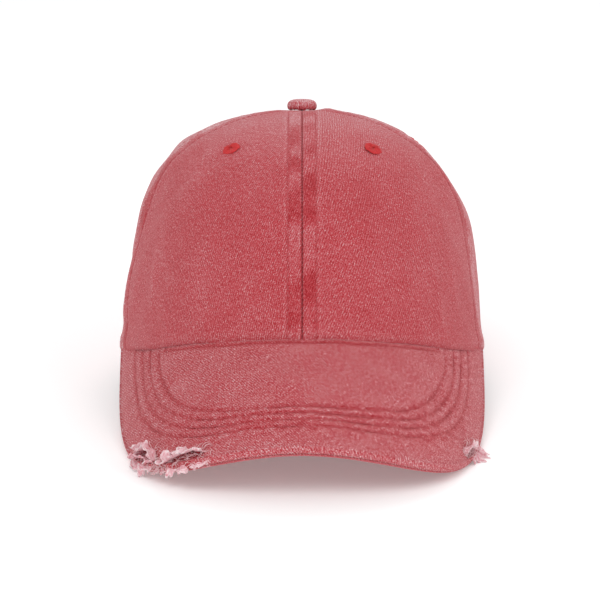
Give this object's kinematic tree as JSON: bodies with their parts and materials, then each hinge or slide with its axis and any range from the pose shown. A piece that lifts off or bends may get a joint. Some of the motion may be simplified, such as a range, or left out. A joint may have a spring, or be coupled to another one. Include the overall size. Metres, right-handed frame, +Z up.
{
  "type": "baseball cap",
  "caption": "Soft unstructured panelled cap in washed cotton twill, with a curved stitched visor, covered button, sweatband and an adjustable buckled strap at the back.",
  "frame": {"origin": "on the surface that the cap stands on, under the middle of the whole cap", "axes": "+Z up, -Y the way the visor points, +X to the right as seen from the front; the cap stands on its visor's corners and the back of its rim, so its own crown axis leans 11.7 degrees back"},
  "size_m": [0.171, 0.2634, 0.1356],
  "materials": {
    "washed_twill": "garment-washed red cotton twill, matt and heathered",
    "faded_twill": "the same twill, more faded",
    "red_thread": "red embroidery thread, soft sheen",
    "tape_cloth": "plain-woven cotton tape",
    "visor_board": "flexible moulded polyethylene sheet",
    "antique_brass": "darkened brass, satin",
    "button_metal": "tinned steel"
  },
  "bodies": {
    "cap": {"panel_front_right": "washed_twill", "panel_front_left": "washed_twill", "panel_side_right": "washed_twill", "panel_side_left": "washed_twill", "panel_back_right": "washed_twill", "panel_back_left": "washed_twill", "eyelet_front_right": "red_thread", "eyelet_front_left": "red_thread", "eyelet_side_right": "red_thread", "eyelet_side_left": "red_thread", "eyelet_back_right": "red_thread", "eyelet_back_left": "red_thread", "seam_tape_front_centre": "tape_cloth", "seam_tape_front_right": "tape_cloth", "seam_tape_front_left": "tape_cloth", "seam_tape_back_right": "tape_cloth", "seam_tape_back_left": "tape_cloth", "seam_tape_back_centre": "tape_cloth", "back_opening_binding": "tape_cloth", "sweatband": "faded_twill", "visor_board": "visor_board", "visor_top_cover": "faded_twill", "visor_bottom_cover": "faded_twill", "button_cover": "faded_twill", "button_shell": "button_metal", "button_back_plate": "button_metal", "buckle_loop": "washed_twill", "buckle_frame": "antique_brass", "buckle_pin": "antique_brass"},
    "strap": {"strap": "washed_twill"},
    "lever": {"buckle_lever": "antique_brass"}
  },
  "joints": [
    {"name": "strap_adjust", "type": "hinge", "parent": "cap", "child": "strap", "pos_m": [0, 0.05759, 0.0262], "axis": [0, 0.2033, 0.9791], "range_deg": [-12, 12]},
    {"name": "buckle_lever_flip", "type": "hinge", "parent": "cap", "child": "lever", "pos_m": [0.02291, 0.12544, 0.01211], "axis": [0, -0.2033, -0.9791], "range_deg": [0, 100]}
  ]
}
